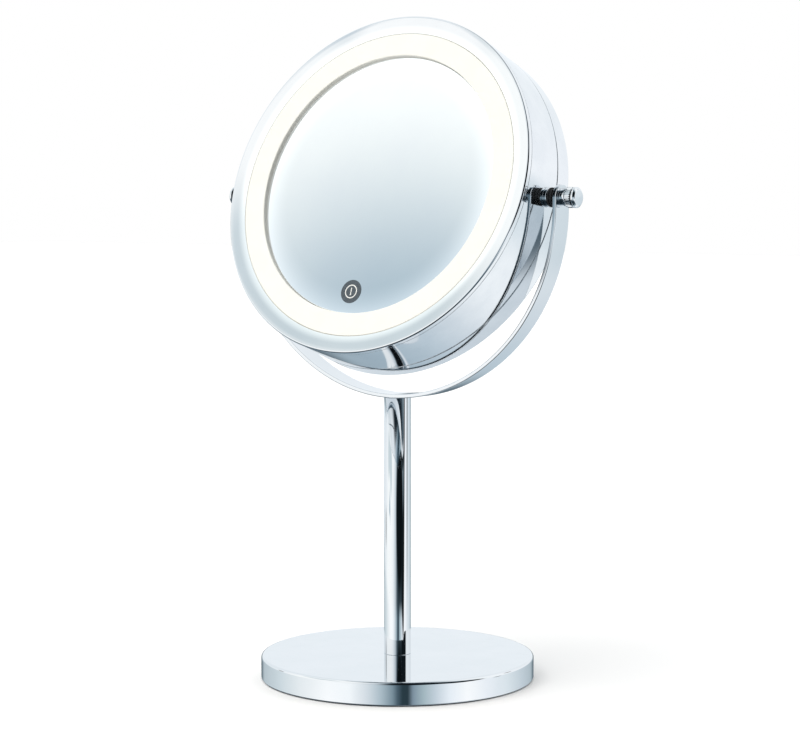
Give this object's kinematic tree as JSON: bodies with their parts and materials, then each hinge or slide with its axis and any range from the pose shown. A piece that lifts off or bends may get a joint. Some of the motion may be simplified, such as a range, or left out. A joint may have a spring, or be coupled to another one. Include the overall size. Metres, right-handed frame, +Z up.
{
  "type": "lit cosmetic mirror",
  "caption": "Round two-sided lit cosmetic mirror that turns in a half-circle yoke with two knurled knobs, on a plain stem and a round weighted base.",
  "frame": {"origin": "centre of the underside of the base pad", "axes": "+Z up, -Y towards the user in front of the lit face, +X along the tilt axis to the user's right when facing +Y"},
  "size_m": [0.2036, 0.134, 0.3225],
  "materials": {
    "chromed_steel": "polished bright chrome plate on steel",
    "chromed_abs": "polished chrome plate on moulded ABS",
    "silvered_glass": "silvered float glass",
    "opal_acrylic": "opal acrylic, lit from behind",
    "touch_print": "printed ceramic ink",
    "white_abs": "moulded white ABS",
    "black_rubber": "moulded nitrile rubber",
    "base_foam": "closed-cell EVA sheet",
    "cast_iron": "as cast, painted grey",
    "zinc_steel": "bright zinc plate on steel",
    "brass": "turned brass",
    "circuit_board": "green solder mask on glass epoxy",
    "led_board_white": "white solder mask on glass epoxy",
    "led_package": "white package with yellow phosphor",
    "component_black": "moulded epoxy",
    "cell_jacket": "shrink sleeve on a steel can",
    "nickel_steel": "bright nickel plate on spring steel",
    "foam_tape": "acrylic foam tape"
  },
  "bodies": {
    "stand": {"base_shell": "chromed_steel", "ballast_disc": "cast_iron", "base_pad": "base_foam", "base_washer": "zinc_steel", "base_bolt": "zinc_steel", "stem_tube": "chromed_steel", "stem_top_plug": "zinc_steel", "stem_foot_plug": "zinc_steel", "yoke": "chromed_steel", "yoke_screw": "chromed_steel", "friction_grommet_right": "black_rubber", "friction_grommet_left": "black_rubber"},
    "head": {"front_bezel": "chromed_abs", "front_housing": "chromed_abs", "light_diffuser": "opal_acrylic", "front_mirror": "silvered_glass", "mirror_tape": "foam_tape", "touch_mark": "touch_print", "touch_electrode": "brass", "touch_pillar": "black_rubber", "mirror_carrier": "white_abs", "led_board": "led_board_white", "leds": "led_package", "control_board": "circuit_board", "board_components": "component_black", "battery_tray": "white_abs", "battery_cells": "cell_jacket", "cell_contacts": "nickel_steel", "contact_leaves": "nickel_steel", "housing_screws": "zinc_steel", "pivot_bush_right": "chromed_steel", "pivot_bush_left": "chromed_steel", "pivot_nut_right": "zinc_steel", "pivot_nut_left": "zinc_steel"},
    "rear_cover": {"rear_housing": "chromed_abs", "rear_mirror": "silvered_glass", "rear_plate": "white_abs"},
    "right_knob": {"knob_right": "chromed_steel", "knob_stud_right": "zinc_steel"},
    "left_knob": {"knob_left": "chromed_steel", "knob_stud_left": "zinc_steel"}
  },
  "joints": [
    {"name": "head_tilt", "type": "hinge", "parent": "stand", "child": "head", "pos_m": [0, 0, 0.2355], "axis": [1, 0, 0], "continuous": true},
    {"name": "rear_cover_twist", "type": "hinge", "parent": "head", "child": "rear_cover", "pos_m": [0, 0, 0.2355], "axis": [0, -0.9397, 0.342], "range_deg": [0, 32]},
    {"name": "right_knob_turn", "type": "hinge", "parent": "head", "child": "right_knob", "pos_m": [0.093, 0, 0.2355], "axis": [1, 0, 0], "range_deg": [0, 180]},
    {"name": "left_knob_turn", "type": "hinge", "parent": "head", "child": "left_knob", "pos_m": [-0.093, 0, 0.2355], "axis": [-1, 0, 0], "range_deg": [0, 180]}
  ]
}
